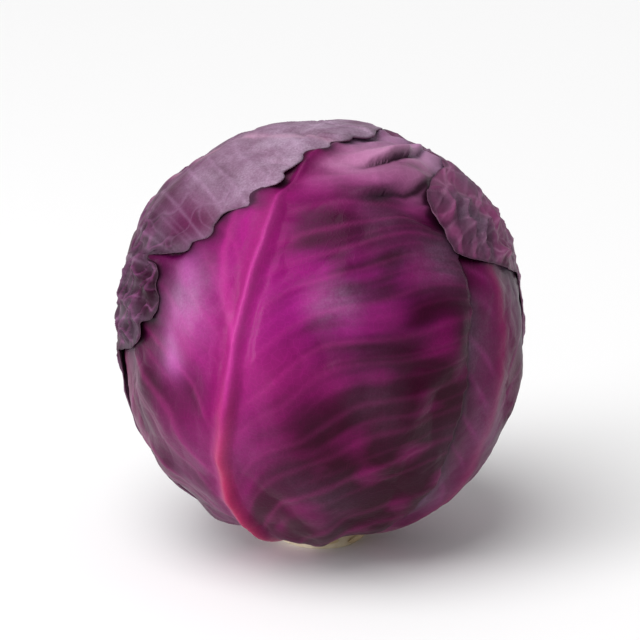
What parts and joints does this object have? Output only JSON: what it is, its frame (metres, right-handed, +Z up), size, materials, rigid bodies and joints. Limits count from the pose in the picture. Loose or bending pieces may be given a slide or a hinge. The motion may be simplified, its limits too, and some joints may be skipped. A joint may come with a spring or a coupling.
{
  "type": "red cabbage",
  "caption": "Whole round head of red cabbage: purple leaves wrapped tightly over each other around a pale core, standing on its short cut stem.",
  "frame": {"origin": "centre of the head's footprint, on the flat cut face of the stem it stands on", "axes": "+Z up along the stem towards the crown; -Y towards the front, where the magenta leaf with the long midrib shows; +X to the right as seen from the front"},
  "size_m": [0.1512, 0.1518, 0.1586],
  "materials": {
    "stem": "pale, moist cut stem and core",
    "leaf_dusky": "purple leaf under a greyish waxy bloom",
    "leaf_magenta": "satin magenta leaf with brighter ribs",
    "leaf_purple": "satin dark purple leaf",
    "leaf_inner": "tender inner leaf, white flesh under a purple skin"
  },
  "bodies": {
    "root": {"stem_core": "stem", "wrapper_leaf_crown": "leaf_dusky", "wrapper_leaf_right": "leaf_dusky", "wrapper_leaf_front": "leaf_magenta", "wrapper_leaf_back": "leaf_purple", "wrapper_leaf_front_right": "leaf_purple", "wrapper_leaf_left": "leaf_purple", "wrapper_leaf_back_right": "leaf_purple", "wrapper_leaf_under_front": "leaf_purple", "inner_leaf_01": "leaf_inner", "inner_leaf_02": "leaf_inner", "inner_leaf_03": "leaf_inner", "inner_leaf_04": "leaf_inner", "inner_leaf_05": "leaf_inner", "inner_leaf_06": "leaf_inner", "inner_leaf_07": "leaf_inner", "inner_leaf_08": "leaf_inner", "inner_leaf_09": "leaf_inner", "inner_leaf_10": "leaf_inner", "inner_leaf_11": "leaf_inner", "inner_leaf_12": "leaf_inner", "inner_leaf_13": "leaf_inner", "heart_bud": "leaf_inner"}
  },
  "joints": []
}
